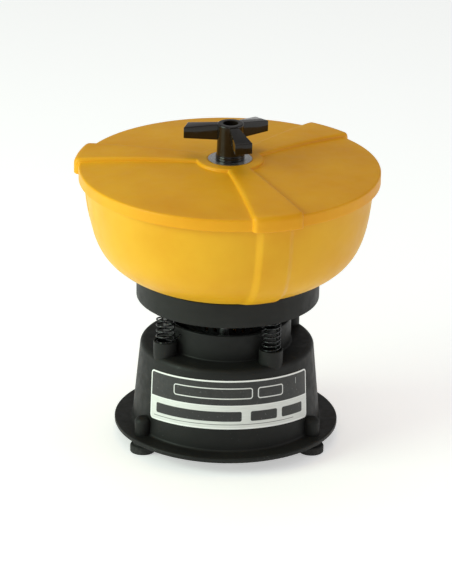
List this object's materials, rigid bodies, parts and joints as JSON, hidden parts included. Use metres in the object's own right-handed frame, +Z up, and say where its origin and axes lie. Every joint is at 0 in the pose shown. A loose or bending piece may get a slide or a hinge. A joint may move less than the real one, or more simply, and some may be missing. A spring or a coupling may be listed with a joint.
{
  "type": "vibratory rock tumbler",
  "caption": "Vibratory tumbler: a lidded round bowl on a sprung motor carriage above a tapered base with rubber feet, clamped by a hand knob.",
  "frame": {"origin": "centre of the base, on the surface that the feet stand on", "axes": "+Z up along the stud and motor shaft; -Y is the front, where the label is; +X is to the right seen from the front"},
  "size_m": [0.2339, 0.2333, 0.2546],
  "materials": {
    "base_plastic": "moulded, fine matt grain",
    "carriage_plastic": "moulded, fine matt grain",
    "bowl_plastic": "moulded, satin",
    "lid_plastic": "moulded, satin",
    "knob_plastic": "gloss, smoky black",
    "zinc_steel": "bright zinc plate",
    "spring_steel": "dark oiled wire",
    "foot_rubber": "matt",
    "pad_rubber": "matt",
    "label_film": "printed satin film",
    "terminal_plastic": "moulded",
    "brass": "turned",
    "lamination_steel": "varnished laminations",
    "winding_copper": "enamelled copper wire",
    "bracket_steel": "pressed, black enamel",
    "bearing_bronze": "sintered bronze",
    "rotor_steel": "ground",
    "weight_steel": "cast, oiled",
    "fan_plastic": "moulded",
    "fibre": "vulcanised fibre"
  },
  "bodies": {
    "base": {"base_housing": "base_plastic", "bottom_cover": "base_plastic", "front_label": "label_film", "foot_left": "foot_rubber", "foot_right": "foot_rubber", "foot_rear": "foot_rubber", "foot_screws": "zinc_steel", "cover_screws": "zinc_steel", "cord_grommet": "pad_rubber", "terminal_block": "terminal_plastic", "terminal_screws": "brass", "spring_front_left": "spring_steel", "spring_front_right": "spring_steel", "spring_rear_left": "spring_steel", "spring_rear_right": "spring_steel"},
    "carriage": {"carriage_ring": "carriage_plastic", "bowl_pad": "pad_rubber", "centre_stud": "zinc_steel", "stud_nuts": "zinc_steel", "stud_washers": "zinc_steel", "stator_core": "lamination_steel", "motor_coils": "winding_copper", "upper_bracket": "bracket_steel", "lower_bracket": "bracket_steel", "upper_bearing": "bearing_bronze", "lower_bearing": "bearing_bronze", "motor_spacers": "zinc_steel", "motor_bolts": "zinc_steel", "motor_nuts": "zinc_steel"},
    "rotor": {"motor_shaft": "rotor_steel", "rotor_core": "rotor_steel", "thrust_washers": "fibre", "cooling_fan": "fan_plastic", "eccentric_weight": "weight_steel", "weight_screw": "zinc_steel"},
    "bowl": {"bowl": "bowl_plastic"},
    "lid": {"lid": "lid_plastic"},
    "washer": {"lid_washer": "zinc_steel"},
    "knob": {"knob": "knob_plastic", "knob_insert": "brass"}
  },
  "joints": [
    {"name": "carriage_bounce", "type": "slide", "parent": "base", "child": "carriage", "axis": [0, 0, 1], "range_m": [-0.006, 0.006], "stiffness_N_per_m": 9600, "springref_m": 0.00151, "deforming": ["spring_front_left", "spring_front_right", "spring_rear_left", "spring_rear_right"]},
    {"name": "rotor_spin", "type": "hinge", "parent": "carriage", "child": "rotor", "pos_m": [0, 0, 0.079], "axis": [0, 0, 1], "continuous": true},
    {"name": "bowl_lift", "type": "slide", "parent": "carriage", "child": "bowl", "axis": [0, 0, 1], "range_m": [0, 0.14]},
    {"name": "lid_lift", "type": "slide", "parent": "bowl", "child": "lid", "axis": [0, 0, 1], "range_m": [0, 0.08]},
    {"name": "knob_rise", "type": "slide", "parent": "lid", "child": "washer", "axis": [0, 0, 1], "range_m": [0, 0.018]},
    {"name": "knob_turn", "type": "hinge", "parent": "washer", "child": "knob", "pos_m": [0, 0, 0.2264], "axis": [0, 0, 1], "range_deg": [0, 6490]}
  ],
  "couplings": [
    {"joint": "knob_turn", "follows": "knob_rise", "rad_per_m": 6283.2}
  ]
}
